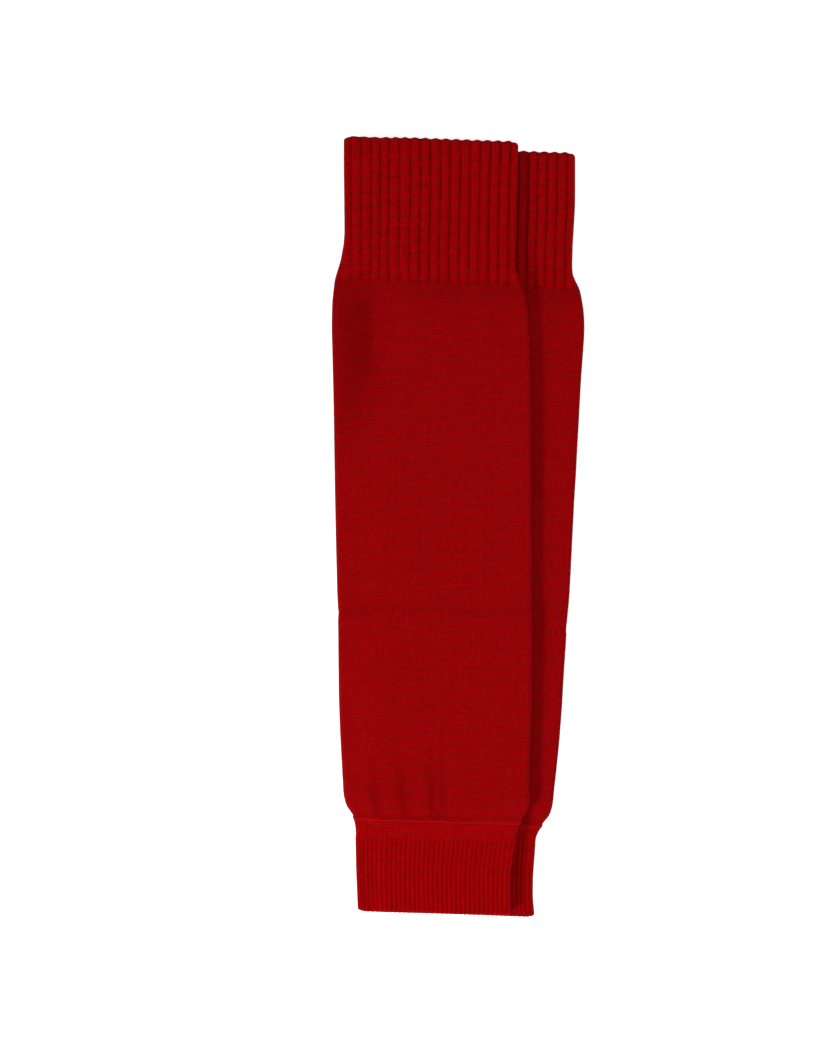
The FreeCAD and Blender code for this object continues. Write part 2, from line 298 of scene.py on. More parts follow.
# How many ribs lie between the cuff's middle and a place across it, both as shares of the way round.
# The folded edges are at 0.25, and ribs stand wider over them.
RIB_SPREAD = ((-0.35, -0.331), (-0.21, -0.2176), (0.21, 0.2176), (0.35, 0.331))
FOLDED_EDGE = 0.25
FLARE = 18.0  # of the elbow cuff, where it widens to the sleeve
FLATTENED_VALLEY = 1  # counted from the left edge, and pulled nearly flat
FLATTENED_STRENGTH = 0.4
FINE_RIBS = 72
FINE_DEPTH = 0.28
PLAIN_BAND = 7.0  # of the wrist cuff, next to its seam
PLAIN_DEPTH = 0.2
SHOULDER_DROP = 1.0  # of the elbow cuff below the sleeve's top
RIM_DROP = 0.4
LONG_WAVE = (0.25, 60.0)  # depth and wavelength of the uneven surface
SHORT_WAVE = (0.07, 17.0)
GROOVE_DEPTH = 1.2  # of the sleeve beside the wrist seam
PUFF_HEIGHT = 0.5  # of the sleeve above that groove
WAVES_IN_RIPPLE = 7
CREASE_STEP = {"front": 1.0, "rear": 0.4}
DENT_DEPTH = 4.4
# How far the dent's bottom lies from the left edge, for places in y.
DENT_FROM_EDGE = ((30.0, 7.5), (40.0, 9.0), (57.0, 12.0), (70.0, 15.2), (84.0, 16.2), (112.0, 17.5))
TOP_GATHERS = (  # share of the width from the left, width, reach up the sleeve, depth
    (0.174, 0.03, 16.0, 1.4), (0.331, 0.036, 18.0, 1.6), (0.489, 0.028, 22.0, 1.5),
    (0.54, 0.017, 24.0, 1.3), (0.68, 0.03, 12.0, 0.3),
)  # fmt: skip
LOW_GATHERS = 9  # seeded ones on the underside, between these two in the same four measures
LEAST_GATHER = (0.05, 0.016, 8.0, 0.3)
GREATEST_GATHER = (0.95, 0.03, 20.0, 0.6)


def ramp(value, low, high):
    """0 below low, 1 above high, and smooth between."""
    share = np.clip((value - low) / (high - low), 0, 1)
    return share * share * (3 - 2 * share)


def hump(value, centre, width):
    """1 at the centre, falling smoothly to 0 on both sides."""
    return np.exp(-(((value - centre) / width) ** 2))


def ripple(x, y, wavelength, seed):
    """A smooth uneven surface, about -1 to 1: a few plane waves in seeded directions."""
    rng = np.random.default_rng(seed)
    total = 0.0
    for _ in range(WAVES_IN_RIPPLE):
        heading, phase = rng.uniform(0, 2 * math.pi, 2)
        length = wavelength * rng.uniform(0.7, 1.5)
        along = x * np.cos(heading) + y * np.sin(heading)
        total = total + np.cos(2 * math.pi * along / length + phase)
    return total / (WAVES_IN_RIPPLE / 2)


def ribs(guard, y, around):
    """The depth of the ribs. Where the elbow cuff flares to the sleeve they keep their places from
    its straight part, so the flare is left smooth beyond the outermost ribs."""
    rng = np.random.default_rng(guard.seed)
    left, right = guard.edges(y)
    cuff_left, cuff_right = guard.edges(np.maximum(y, guard.join + FLARE))
    below = np.floor(2 * around)  # 0 on top and 1 underneath
    across = left + (right - left) * np.where(below > 0, 2 - 2 * around, 2 * around)
    from_middle = (across - (cuff_left + cuff_right) / 2) / (cuff_right - cuff_left) / 2
    spread = np.interp(from_middle, *zip(*RIB_SPREAD))
    count = (FOLDED_EDGE + 0.5 * below + spread * (1 - 2 * below)) * WIDE_RIBS
    # A slow ripple of a twentieth of a rib keeps the valleys from being ruled lines.
    count = count + 0.05 * ripple(around * 160.0, y, 55.0, guard.seed + 1)
    phase = np.mod(count, 1.0)
    valley = hump(np.minimum(phase, 1 - phase), 0.0, VALLEY_WIDTH)
    strengths = rng.uniform(0.85, 1.15, WIDE_RIBS)
    strengths[FLATTENED_VALLEY] = FLATTENED_STRENGTH
    strength = strengths[np.round(count).astype(int) % WIDE_RIBS]
    inward = 1 - ramp(np.abs(from_middle), FOLDED_EDGE - 0.015, FOLDED_EDGE)
    lean = inward * np.where(below > 0, 1 - phase, phase) ** 2
    wide = VALLEY_DEPTH * valley * strength + LEAN_DEPTH * lean
    past_edge = np.abs(from_middle) - FOLDED_EDGE
    wide = wide * (1 - ramp(past_edge, 0.1 / WIDE_RIBS, 0.5 / WIDE_RIBS))
    wide = wide * ramp(y, guard.join - 2.0, guard.join + 1.0)
    fine = FINE_DEPTH * (1 + np.cos(2 * math.pi * around * FINE_RIBS))
    plain = ramp(y, guard.seam - PLAIN_BAND - 3.0, guard.seam - PLAIN_BAND)
    return wide + fine * (1 - plain) + PLAIN_DEPTH * plain * (y < guard.seam)


def gathers(guard, y, x, up):
    """Short folds that fan up from the wrist seam, named ones on top and seeded ones below."""
    left, right = guard.edges(y)
    share = (x - left) / (right - left)
    rng = np.random.default_rng(guard.seed + 5)
    below = [rng.uniform(LEAST_GATHER, GREATEST_GATHER) for _ in range(LOW_GATHERS)]
    total = 0.0
    for folds_here, weight in ((TOP_GATHERS, np.maximum(up, 0)), (below, np.maximum(-up, 0))):
        for place, width, reach, strength in folds_here:
            along = hump(y - guard.seam, 6.0, reach) * ramp(y - guard.seam, -4.0, 6.0)
            total = total + weight * strength * hump(share, place, width) * along
    return total


def crease(guard, y, x):
    """A packed fold across the middle: the cloth below it stands proud of the cloth above."""
    left, _ = guard.edges(y)
    # The fold runs 3.5 mm nearer the wrist at the left edge, and wanders a little on its way across.
    above = y - guard.crease + 3.5 * (1 - ramp(x - left, 2.0, 20.0))
    above = above - 0.4 * ripple(x, 0 * x, 45.0, guard.seed)
    step = (2 * ramp(above, -2.7, 2.7) - 1) * np.exp(-np.abs(above) / 20.0)
    step = step * (1 + 0.8 * hump(x - left, 6.0, 12.0))
    return CREASE_STEP[guard.name] / 2 * step, 0.3 * hump(above, 0.0, 1.5)


def dent(guard, y, x):
    """A long dent beside the front guard's left edge. First its depth, which is steepest just left
    of the bottom, then how much painted shade each place takes, 0 to 1."""
    left, _ = guard.edges(y)
    reach = np.interp(y, *zip(*DENT_FROM_EDGE))
    share = np.clip((x - left) / reach, 0, 1)
    here = ramp(y, 22.0, 82.0) * (1 - ramp(y, 97.0, 114.0)) * (guard is front)
    depth = (1.25 * share**1.3 - 0.25) * (1 - ramp(x, left + reach - 1.0, left + reach + 22.0))
    # Painted shade: the knit's colour is darkened by this share.
    shade = (0.4 + 0.6 * share) * (1 - ramp(x, left + reach - 1.5, left + reach + 2.5))
    return DENT_DEPTH * depth * here, shade * here


def folds(guard, y, x, up):
    """The depth of everything that moves the whole wall: dents, crease, gathers, puffs and waves."""
    top = np.maximum(up, 0)
    left, right = guard.edges(y)
    from_left = ramp(x - left, 0.0, 13.0)
    above_seam = y - guard.seam
    sleeve = ramp(above_seam, -0.5, 0.5)
    fold_step, fold_dip = crease(guard, y, x)
    depth = LONG_WAVE[0] * ripple(x, y, LONG_WAVE[1], guard.seed + 2)
    depth = depth + SHORT_WAVE[0] * ripple(x, y, SHORT_WAVE[1], guard.seed + 3)
    depth = depth * np.abs(up) + fold_step * top + fold_dip
    # The left edge rounds off early, and the right one keeps a thin raised roll.
    depth = depth + (0.5 * (1 - from_left) - 0.6 * hump(x, right - 1.6, 1.4)) * top
    groove = GROOVE_DEPTH * hump(above_seam, 0.0, 2.6) - PUFF_HEIGHT * hump(above_seam, 9.0, 6.0)
    depth = depth + sleeve * groove
    # The wrist cuff lies lower than the sleeve, and lowest against the seam.
    depth = depth + (1 - sleeve) * (0.3 + 0.4 * hump(above_seam, 0.0, 1.2))
    depth = depth + SHOULDER_DROP * ramp(y - guard.join, -24.0, 1.0) * top
    depth = depth + RIM_DROP * ramp(y, guard.rim - 14.0, guard.rim) * top
    depth = depth + gathers(guard, y, x, up) * sleeve
    return depth + dent(guard, y, x)[0] * top


def painted_fold_shade(guard, y, around):
    """Painted shade in gathers, by the seam, below the join and in the dent, on a rib valley's scale.
    """
    x, _, out_x, _, up = round_the_tube(guard, y, around)
    x = x + out_x * THICKNESS / 2
    # Painted shade: the material darkens the cloth by these amounts.
    fold_shade = 0.2 * gathers(guard, y, x, up) * (y > guard.seam)
    seam_and_join_shade = 0.35 * hump(y - guard.seam, 0.0, 0.8) * (y > guard.seam - 0.1)
    seam_and_join_shade = seam_and_join_shade + 0.3 * hump(y - guard.join, -3.0, 5.0) * (y < guard.join + 0.1)
    return fold_shade + seam_and_join_shade + 0.65 * dent(guard, y, x)[1] * np.maximum(up, 0)


print("ribs in the elbow cuff:", WIDE_RIBS, "and in the wrist cuff:", FINE_RIBS)

# %% [markdown]
# ## From numbers to points
# This puts the last three cells together. Rims aren't straight: each rib ends in a small scallop, the
# corners of the flat tube are rounded, and the lower layer shows as a thin roll beyond the upper one.

# %% Points on the wall
UNDERSIDE_GAP = {"front": 0.55, "rear": 0.2}  # each underside is pressed in this much
RIM_SCALLOP = 0.275  # half of a scallop's height
HEM_SCALLOP = 0.11
LOWEST = 0.02  # the cloth stays this far above the floor


def shifted_y(guard, y, around, across, up):
    """Places along the guard after the free edges' scallops and rounded corners."""
    near_rim = ramp(y, guard.rim - 7.0, guard.rim)
    near_hem = 1 - ramp(y, guard.hem, guard.hem + 5.0)
    corner = np.abs(across) ** 3
    rim_scallop = RIM_SCALLOP * (1 + np.cos(2 * math.pi * around * WIDE_RIBS))
    from_left = np.abs(np.mod(around + 0.5, 1.0) - 0.5)
    rim_scallop = rim_scallop * (0.4 + 0.6 * ramp(from_left, 0.03, 0.15))  # fading to the left
    hem_scallop = HEM_SCALLOP * (1 + np.cos(2 * math.pi * around * FINE_RIBS))
    y = y + near_rim * (-0.5 * up - 0.9 * corner - rim_scallop)
    return y - near_hem * (-0.5 * up - 0.5 * corner - hem_scallop)


def wall_points(guard, y, inset, around, rib_share=0.0):
    """Points round the guard at y, this far inside its outer surface, in metres."""
    y, inset, around, rib_share = np.broadcast_arrays(y, inset, around, rib_share)
    x, z, out_x, out_z, up = round_the_tube(guard, y, around)
    outer_x = x + out_x * THICKNESS / 2
    depth = inset + rib_share * ribs(guard, y, around) + folds(guard, y, outer_x, up)
    reach = THICKNESS / 2 - depth - UNDERSIDE_GAP[guard.name] * np.maximum(-up, 0)
    new_x = x + out_x * reach
    new_y = shifted_y(guard, y, around, np.where(np.abs(up) < 0.999, out_x, 0.0), up)
    skew = np.interp(y, (guard.hem, guard.rim), guard.skews)
    new_y = new_y - skew * (new_x - sum(guard.edges(y)) / 2)
    new_z = np.maximum(z + out_z * reach, LOWEST)
    return np.stack([new_x, new_y, new_z], axis=-1) * MM


right_edge = wall_points(front, 0.0, 0.0, np.array([0.5])) / MM
print("a point on the front guard's right edge, mm:", right_edge.round(1))

# %% [markdown]
# ## Turning rings of points into cloth
# A wall of cloth has two faces and two ends. Going once round the wall's own thin section, ring by
# ring, and joining each ring to the next makes a closed mesh with no loose edges, like a doughnut
# that has been rolled flat. A UV map counts stitches: U goes up by one for each column of the knit and
# V by one for each row, so a material can draw every stitch at its true size on any piece.

# %% Cloth mesh
COURSE = 1.05  # height of one row of stitches
SHARP_CORNER = math.radians(50)


def make_mesh(name, points, faces, uvs, valley=None):
    """A smooth mesh of four-sided faces with a UV map, and for cloth the amount of painted shade."""
    mesh = bpy.data.meshes.new(name)
    mesh.vertices.add(len(points))
    mesh.vertices.foreach_set("co", np.asarray(points, dtype=np.float32).ravel())
    mesh.loops.add(faces.size)
    mesh.loops.foreach_set("vertex_index", faces.ravel().astype(np.int32))
    mesh.polygons.add(len(faces))
    mesh.polygons.foreach_set("loop_start", np.arange(0, faces.size, faces.shape[1], dtype=np.int32))
    mesh.update(calc_edges=True)
    mesh.validate()
    layer = mesh.uv_layers.new(name="knit")
    layer.uv.foreach_set("vector", uvs.astype(np.float32).ravel())
    # The valley value says how much painted shade the material lays on each point.
    if valley is not None:
        attribute = mesh.attributes.new("valley", "FLOAT", "POINT")
        attribute.data.foreach_set("value", valley.astype(np.float32))
    mesh.shade_smooth()
    mesh.set_sharp_from_angle(angle=SHARP_CORNER)
    made = bpy.data.objects.new(name, mesh)
    bpy.context.scene.collection.objects.link(made)
    return made


def cloth_tube(name, guard, section, columns):
    """A closed wall of cloth round a guard. section lists (y, inset, rib share, run along the cloth)
    once round the wall's own section. columns is the number of mesh columns round the guard."""
    y, inset, share, runs = (np.array(column)[:, None] for column in zip(*section))
    around = (np.arange(columns) / columns)[None, :]
    points = wall_points(guard, y, inset, around, share).reshape(-1, 3)
    # Painted shade: rib depths plus fold shade, where the rib share is over a half.
    valley = (ribs(guard, y, around) + painted_fold_shade(guard, y, around)) * (share > 0.5)
    count = len(section)
    ring, column = np.meshgrid(np.arange(count), np.arange(columns), indexing="ij")
    next_ring, next_column = (ring + 1) % count, (column + 1) % columns
    corners = ((ring, column), (ring, next_column), (next_ring, next_column), (next_ring, column))
    faces = np.stack([r * columns + c for r, c in corners], axis=-1).reshape(-1, 4)
    rows = runs.ravel() / COURSE
    steps = ((0, 0), (0, 1), (1, 1), (1, 0))
    u = np.stack([(column + right) / columns * COLUMNS_ROUND for _, right in steps], axis=-1)
    v = np.stack([rows[next_ring if up else ring] for up, _ in steps], axis=-1)
    made = make_mesh(name, points, faces, np.stack([u, v], axis=-1).reshape(-1, 2), valley.ravel())
    print(name, len(faces), "faces")
    return made


def steps_between(start, end, step):
    """Evenly spaced values from start to end, about step apart."""
    return np.linspace(start, end, max(2, round(abs(end - start) / step) + 1))


# %% [markdown]
# ## The sleeves
# Plain knit, one layer, about a millimetre thick. The outer face needs close rings for the gathers and
# the crease. The inner face is only seen through the cuffs, so its rings lie further apart.

# %% Sleeves
SLEEVE_WALL = 1.2
OUTER_STEP = 1.9
INNER_STEP = 6.0
WIDE_COLUMNS = WIDE_RIBS * 12


def make_sleeve(guard):
    outer_places = steps_between(guard.seam, guard.join, OUTER_STEP)
    inner_places = steps_between(guard.join, guard.seam, INNER_STEP)
    outer = [(y, 0.0, 1.0, y - guard.join) for y in outer_places]
    inner = [(y, SLEEVE_WALL, 0.0, y - guard.join) for y in inner_places]
    return cloth_tube(f"{guard.name}_sleeve_knit", guard, outer + inner, WIDE_COLUMNS)


sleeves = {guard.name: make_sleeve(guard) for guard in (front, rear)}

# %% [markdown]
# ## The cuffs
# A cuff is one tube of rib knit folded back into itself at its free edge, which gives a soft rolled
# rim and two layers with a narrow gap between. The wall's section goes up the outside, over the fold,
# down the lining, then back through the gap and round the inside of the fold.

# %% Cuffs
OUTER_LAYER = 0.8
LAYER_GAP = 0.4
LINING = 0.6
LINING_STOP = 0.8  # from the joined end
GAP_STEP = 4.0
FINE_COLUMNS = FINE_RIBS * 6


def make_cuff(guard, piece, root, edge, step, columns):
    """root and edge are the joined and the folded end."""
    toward = 1 if edge > root else -1
    whole = OUTER_LAYER + LAYER_GAP + LINING
    fold = whole / 2
    inner_fold = LAYER_GAP / 2
    centre = OUTER_LAYER + inner_fold
    turn_y = edge - toward * fold
    stop = root + toward * LINING_STOP
    turns = np.linspace(0, math.pi, 11)
    outside = [(y, 0.0, 1.0) for y in steps_between(root, turn_y, step)]
    over = [
        (turn_y + toward * fold * math.sin(a), fold - fold * math.cos(a), math.cos(a / 2) ** 2)
        for a in turns[1:-1]
    ]
    lining = [(y, whole, -0.35) for y in steps_between(turn_y, stop, 2.0 * step)]
    gap_in = [(y, OUTER_LAYER + LAYER_GAP, 0.0) for y in steps_between(stop, turn_y, GAP_STEP)]
    under = [
        (turn_y + toward * inner_fold * math.sin(a), centre + inner_fold * math.cos(a), 0.1)
        for a in turns[2:-2]
    ]
    gap_out = [(y, OUTER_LAYER, 0.15) for y in steps_between(turn_y, root, GAP_STEP)]
    # The run along the cloth goes up to the fold, and on past it in the lining.
    parts = ((1, outside), (1, over), (-1, lining), (-1, gap_in), (0, under), (1, gap_out))
    section = []
    for way, rows in parts:
        section += [(y, inset, share, edge - guard.join + way * (y - edge)) for y, inset, share in rows]
    if toward < 0:
        section.reverse()
    return cloth_tube(f"{guard.name}_{piece}_knit", guard, section, columns)


elbow_cuffs = {}
wrist_cuffs = {}
for guard in (front, rear):
    elbow_cuffs[guard.name] = make_cuff(guard, "elbow_cuff", guard.join, guard.rim, 1.5, WIDE_COLUMNS)
    wrist_cuffs[guard.name] = make_cuff(guard, "wrist_cuff", guard.seam, guard.hem, 1.0, FINE_COLUMNS)

# %% [markdown]
# ## Threads
# The seam at the wrist is overlocked: a thread loops over the raw edge once for each column of the
# knit, and another runs along it. Inside the elbow cuff a chain of thread links the turned-in edge to
# the outer layer, and rubber threads lie in both cuffs' gaps. They are small tubes bent along paths on
# the wall, so they follow every fold of it. Curve objects with a bevel would do the same, but a mesh
# gives the overlock's 144 loops as one piece.

# %% Thread mesh
THREAD_SIDES = 6
END_TAPER = 0.35  # of the radius, at a loose end


def tube_mesh(name, paths, radius, closed):
    """Round tubes along paths of points, in metres. A closed path joins its end to its start."""
    points, faces, uvs = [], [], []
    first = 0
    turns = np.arange(THREAD_SIDES) / THREAD_SIDES * 2 * math.pi
    for path in paths:
        if closed:
            tangent = np.roll(path, -1, axis=0) - np.roll(path, 1, axis=0)
        else:
            tangent = np.gradient(path, axis=0)
        tangent /= np.linalg.norm(tangent, axis=1, keepdims=True)
        off_y = np.abs(tangent[:, 1:2]) < 0.9
        aside = np.cross(tangent, np.where(off_y, (0.0, 1.0, 0.0), (1.0, 0.0, 0.0)))
        aside /= np.linalg.norm(aside, axis=1, keepdims=True)
        other = np.cross(tangent, aside)
        size = np.full(len(path), radius * MM)
        if not closed:
            size[[0, -1]] *= END_TAPER
        ring = aside[:, None] * np.cos(turns)[None, :, None]
        ring = ring + other[:, None] * np.sin(turns)[None, :, None]
        points.append((path[:, None] + ring * size[:, None, None]).reshape(-1, 3))
        count = len(path)
        rows = np.arange(count if closed else count - 1)
        row, side = np.meshgrid(rows, np.arange(THREAD_SIDES), indexing="ij")
        next_row, next_side = (row + 1) % count, (side + 1) % THREAD_SIDES
        corners = ((row, side), (row, next_side), (next_row, next_side), (next_row, side))
        quads = np.stack([r * THREAD_SIDES + s for r, s in corners], axis=-1).reshape(-1, 4)
        faces.append(first + quads)
        strides = np.linalg.norm(np.diff(path, axis=0), axis=1)
        lengths = np.concatenate([[0.0], np.cumsum(strides)]) / MM
        lengths = np.append(lengths, lengths[-1] + np.linalg.norm(path[0] - path[-1]) / MM)
        steps = ((0, 0), (0, 1), (1, 1), (1, 0))
        u = np.stack([(side + right) / THREAD_SIDES for _, right in steps], axis=-1)
        v = np.stack([lengths[row + up] for up, _ in steps], axis=-1)
        uvs.append(np.stack([u, v], axis=-1).reshape(-1, 2))
        first += count * THREAD_SIDES
    made = make_mesh(name, np.concatenate(points), np.concatenate(faces), np.concatenate(uvs))
    print(name, len(paths), "threads")
    return made


# %% [markdown]
# ## Overlock at the wrist
# Each loop climbs from the cuff over the seam to the sleeve and leans a little. The needle thread runs
# below them as a small ridge, which catches the light as a thin line.

# %% Overlock
THREAD_RADIUS = 0.16
SEAM_WIDTH = 1.5  # on the cuff's side, where the loops start and the needle thread runs
LOOP_CLIMB = 2.3
LOOP_START = 0.2  # of a column
LOOP_LEAN = 0.55
LOOP_INSET = 0.35  # of a loop's ends, below the surface
LOOP_ARCH = 0.45  # of its middle above its ends
NEEDLE_INSET = 0.12
STITCH_POINTS = 6
stitch_shares = np.arange(COLUMNS_ROUND * STITCH_POINTS) / (COLUMNS_ROUND * STITCH_POINTS)
stitch_wave = np.sin(2 * math.pi * stitch_shares * COLUMNS_ROUND)  # once up and down in each stitch


def make_overlock(guard):
    climb = np.linspace(0.0, 1.0, 9)
    loops = []
    for stitch in range(COLUMNS_ROUND):
        around = (stitch + LOOP_START + LOOP_LEAN * climb) / COLUMNS_ROUND
        ys = guard.seam - SEAM_WIDTH + LOOP_CLIMB * climb
        insets = LOOP_INSET - LOOP_ARCH * np.sin(math.pi * climb)
        loops.append(wall_points(guard, ys, insets, around))
    needle_y = guard.seam - SEAM_WIDTH + 0.18 * stitch_wave
    runner = wall_points(guard, needle_y, NEEDLE_INSET - 0.05 * stitch_wave, stitch_shares)
    seam = tube_mesh(f"{guard.name}_overlock_loops", loops, THREAD_RADIUS, closed=False)
    ridge = tube_mesh(f"{guard.name}_overlock_runner", [runner], THREAD_RADIUS, closed=True)
    return seam, ridge


overlocks = {guard.name: make_overlock(guard) for guard in (front, rear)}

# %% [markdown]
# ## Chain and elastic inside the cuffs
# These can only be seen by looking into the cuffs or by taking them apart, so they are plain tubes.

# %% Inner threads
ELASTIC_RADIUS = 0.14
ELBOW_ELASTICS = 9
WRIST_ELASTICS = 6
ELASTIC_SPAN = (0.08, 0.68)  # of the cuff, from its folded edge
CHAIN_PLACE = 0.75  # above the join
CHAIN_WAVE = 0.25
GAP_MIDDLE = OUTER_LAYER + LAYER_GAP / 2
RING_POINTS = 2 * COLUMNS_ROUND
ring_shares = np.arange(RING_POINTS) / RING_POINTS


def make_elastics(guard, cuff, root, edge, count):
    places = edge + (root - edge) * np.linspace(*ELASTIC_SPAN, count)
    paths = [wall_points(guard, y, GAP_MIDDLE, ring_shares) for y in places]
    return tube_mesh(f"{guard.name}_{cuff}_elastic_threads", paths, ELASTIC_RADIUS, closed=True)


def make_chain(guard):
    chain_y = guard.join + CHAIN_PLACE + CHAIN_WAVE * stitch_wave
    chain = wall_points(guard, chain_y, GAP_MIDDLE, stitch_shares)
    return tube_mesh(f"{guard.name}_link_chain", [chain], ELASTIC_RADIUS, closed=True)


inner_threads = {}
for guard in (front, rear):
    inner_threads[guard.name] = (
        make_elastics(guard, "elbow", guard.join, guard.rim, ELBOW_ELASTICS),
        make_elastics(guard, "wrist", guard.seam, guard.hem, WRIST_ELASTICS),
        make_chain(guard),
    )

# %% [markdown]
# ## Polyester knit
# Filament polyester, dyed a deep red. It is matt from a distance, because every loop turns the light a
# different way, and the gaps between loops are painted darker as shade. One stitch is a V: two legs of
# yarn that rise outward from the column's middle. The pattern is drawn from the stitch-counting UV
# map: the V comes from lifting the row number towards the column's borders, and a sine across each
# leg rounds the yarn.
# No two loops take the dye and the light alike, so each stitch gets a slightly different tone.

# %% Stitch pattern
LEG_RISE = 0.45  # rows that a leg climbs from the column's middle to its border


def make_stitch_group():
    """Nodes that turn the UV map into a stitch's height and a tone of its own, both 0 to 1."""
    group = bpy.data.node_groups.new("knit_stitch", "ShaderNodeTree")
    for name in ("Height", "Tone"):
        group.interface.new_socket(name=name, in_out="OUTPUT", socket_type="NodeSocketFloat")
    math_node = "ShaderNodeMath"
    uv = add_node(group, "ShaderNodeUVMap", uv_map="knit")
    parts = add_node(group, "ShaderNodeSeparateXYZ", {0: uv.outputs[0]})
    in_column = add_node(group, math_node, {0: parts.outputs["X"]}, operation="FRACT")
    off_middle = add_node(group, math_node, {0: in_column.outputs[0], 1: 0.5}, operation="SUBTRACT")
    aside = add_node(group, math_node, {0: off_middle.outputs[0]}, operation="ABSOLUTE")
    lift = add_node(group, math_node, {0: aside.outputs[0], 1: 2 * LEG_RISE}, operation="MULTIPLY")
    row = add_node(group, math_node, {0: parts.outputs["Y"], 1: lift.outputs[0]}, operation="SUBTRACT")
    in_row = add_node(group, math_node, {0: row.outputs[0]}, operation="FRACT")
    row_angle = add_node(group, math_node, {0: in_row.outputs[0], 1: math.pi}, operation="MULTIPLY")
    row_round = add_node(group, math_node, {0: row_angle.outputs[0]}, operation="SINE")
    # Across a leg the angle runs from 45 degrees at the column's middle to 180 at its border.
    leg_angle = add_node(group, math_node, {
        0: aside.outputs[0], 1: 1.5 * math.pi, 2: math.pi / 4,
    }, operation="MULTIPLY_ADD")  # fmt: skip
    leg_round = add_node(group, math_node, {0: leg_angle.outputs[0]}, operation="SINE")
    leg_full = add_node(group, math_node, {0: leg_round.outputs[0], 1: 0.5}, operation="POWER")
    height = add_node(group, math_node, {
        0: leg_full.outputs[0], 1: row_round.outputs[0],
    }, operation="MULTIPLY")  # fmt: skip
    column_number = add_node(group, math_node, {0: parts.outputs["X"]}, operation="FLOOR")
    row_number = add_node(group, math_node, {0: row.outputs[0]}, operation="FLOOR")
    cell = add_node(group, "ShaderNodeCombineXYZ", {
        0: column_number.outputs[0], 1: row_number.outputs[0],
    })  # fmt: skip
    tone = add_node(group, "ShaderNodeTexWhiteNoise", {
        "Vector": cell.outputs[0],
    }, noise_dimensions="2D")  # fmt: skip
    result = add_node(group, "NodeGroupOutput", {
        "Height": height.outputs[0], "Tone": tone.outputs["Value"],
    })  # fmt: skip
    result.is_active_output = True
    return group


stitch_group = make_stitch_group()
print("stitch, mm:", round(tube_length / COLUMNS_ROUND, 2), "by", COURSE)

# %% [markdown]
# ## The knit's colour and surface
# The colour runs from the gaps, painted dark as shade, to the crest of each yarn. Long faint streaks
# along rows and columns come from uneven yarn, and the stored depth of the ribs and folds paints shade
# into their valleys. A fine noise on the bump stands for stray fibres, and a little sheen for the
# fuzz they make. The three knits differ in how red they look and in the painted shade of their gaps.

# %% Knit material
SHINE_RED = "#A00408"
SHEEN_RED = "#E01010"
# The gap colours are painted shade between the loops, darker where the gaps are deeper.
GAP_SHADE_RED = "#6B0304"  # plain knit lies flatter than rib, so its gaps are shallower
DEEP_GAP_SHADE_RED = "#5E0203"
FINE_GAP_SHADE_RED = "#640203"
YARN_DEPTH = 0.22
FIBRES_PER_STITCH = 7.0
FIBRE_HEIGHT = 0.25  # of the yarn's
ROW_STREAKS = (0.05, 0.9, 1.0)  # turns of noise to a stitch: slow along a row, quick across rows
COLUMN_STREAKS = (0.8, 0.03, 1.0)
STREAK_TONES = (0.965, 1.035)
DEEPEST_VALLEY = 0.8  # a valley this deep takes the full painted shade
FABRIC_ROUGHNESS = 0.9


